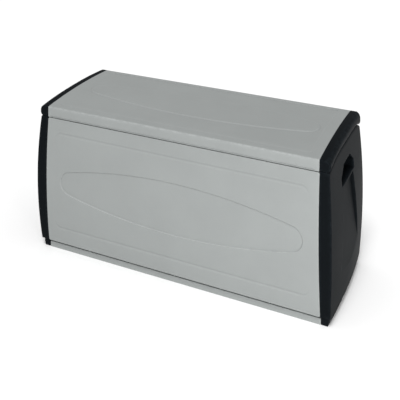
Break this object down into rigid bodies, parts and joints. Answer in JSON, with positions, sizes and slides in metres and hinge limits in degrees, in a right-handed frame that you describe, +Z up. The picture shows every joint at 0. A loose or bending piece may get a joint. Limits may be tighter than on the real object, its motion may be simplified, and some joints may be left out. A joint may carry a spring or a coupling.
{
  "type": "deck storage box",
  "caption": "Long resin storage box for a terrace, with bowed grey panels, swelled black ends with recessed hand grips, and a crowned lid hinged along the back.",
  "frame": {"origin": "on the ground, under the middle of the box", "axes": "+Z up, +X along the length to the right hand end seen from the front, +Y to the back where the hinges are"},
  "size_m": [1.197, 0.4604, 0.573],
  "materials": {
    "grey_resin": "satin moulded polypropylene, cool light grey, fine texture",
    "black_resin": "satin moulded polypropylene, near black, fine texture",
    "zinc_steel": "bright zinc plate"
  },
  "bodies": {
    "box": {"front_panel": "grey_resin", "back_panel": "grey_resin", "floor_panel": "grey_resin", "end_panel_left": "black_resin", "end_panel_right": "black_resin", "base_end_left": "black_resin", "base_end_right": "black_resin", "hinge_body_leaf_left": "black_resin", "hinge_body_leaf_middle": "black_resin", "hinge_body_leaf_right": "black_resin", "hinge_pin_left": "zinc_steel", "hinge_pin_middle": "zinc_steel", "hinge_pin_right": "zinc_steel", "hinge_body_screw_left_a": "zinc_steel", "hinge_body_screw_left_b": "zinc_steel", "hinge_body_screw_middle_a": "zinc_steel", "hinge_body_screw_middle_b": "zinc_steel", "hinge_body_screw_right_a": "zinc_steel", "hinge_body_screw_right_b": "zinc_steel", "base_screw_left_front": "zinc_steel", "base_screw_left_rear": "zinc_steel", "base_screw_right_front": "zinc_steel", "base_screw_right_rear": "zinc_steel"},
    "lid": {"lid_panel": "grey_resin", "lid_cap_left": "black_resin", "lid_cap_right": "black_resin", "hinge_lid_leaf_left": "black_resin", "hinge_lid_leaf_middle": "black_resin", "hinge_lid_leaf_right": "black_resin", "hinge_lid_screw_left_a": "zinc_steel", "hinge_lid_screw_left_b": "zinc_steel", "hinge_lid_screw_middle_a": "zinc_steel", "hinge_lid_screw_middle_b": "zinc_steel", "hinge_lid_screw_right_a": "zinc_steel", "hinge_lid_screw_right_b": "zinc_steel", "cap_screw_left_front": "zinc_steel", "cap_screw_left_rear": "zinc_steel", "cap_screw_right_front": "zinc_steel", "cap_screw_right_rear": "zinc_steel"}
  },
  "joints": [
    {"name": "lid_hinge", "type": "hinge", "parent": "box", "child": "lid", "pos_m": [0, 0.2238, 0.516], "axis": [-1, 0, 0], "range_deg": [0, 100]}
  ]
}
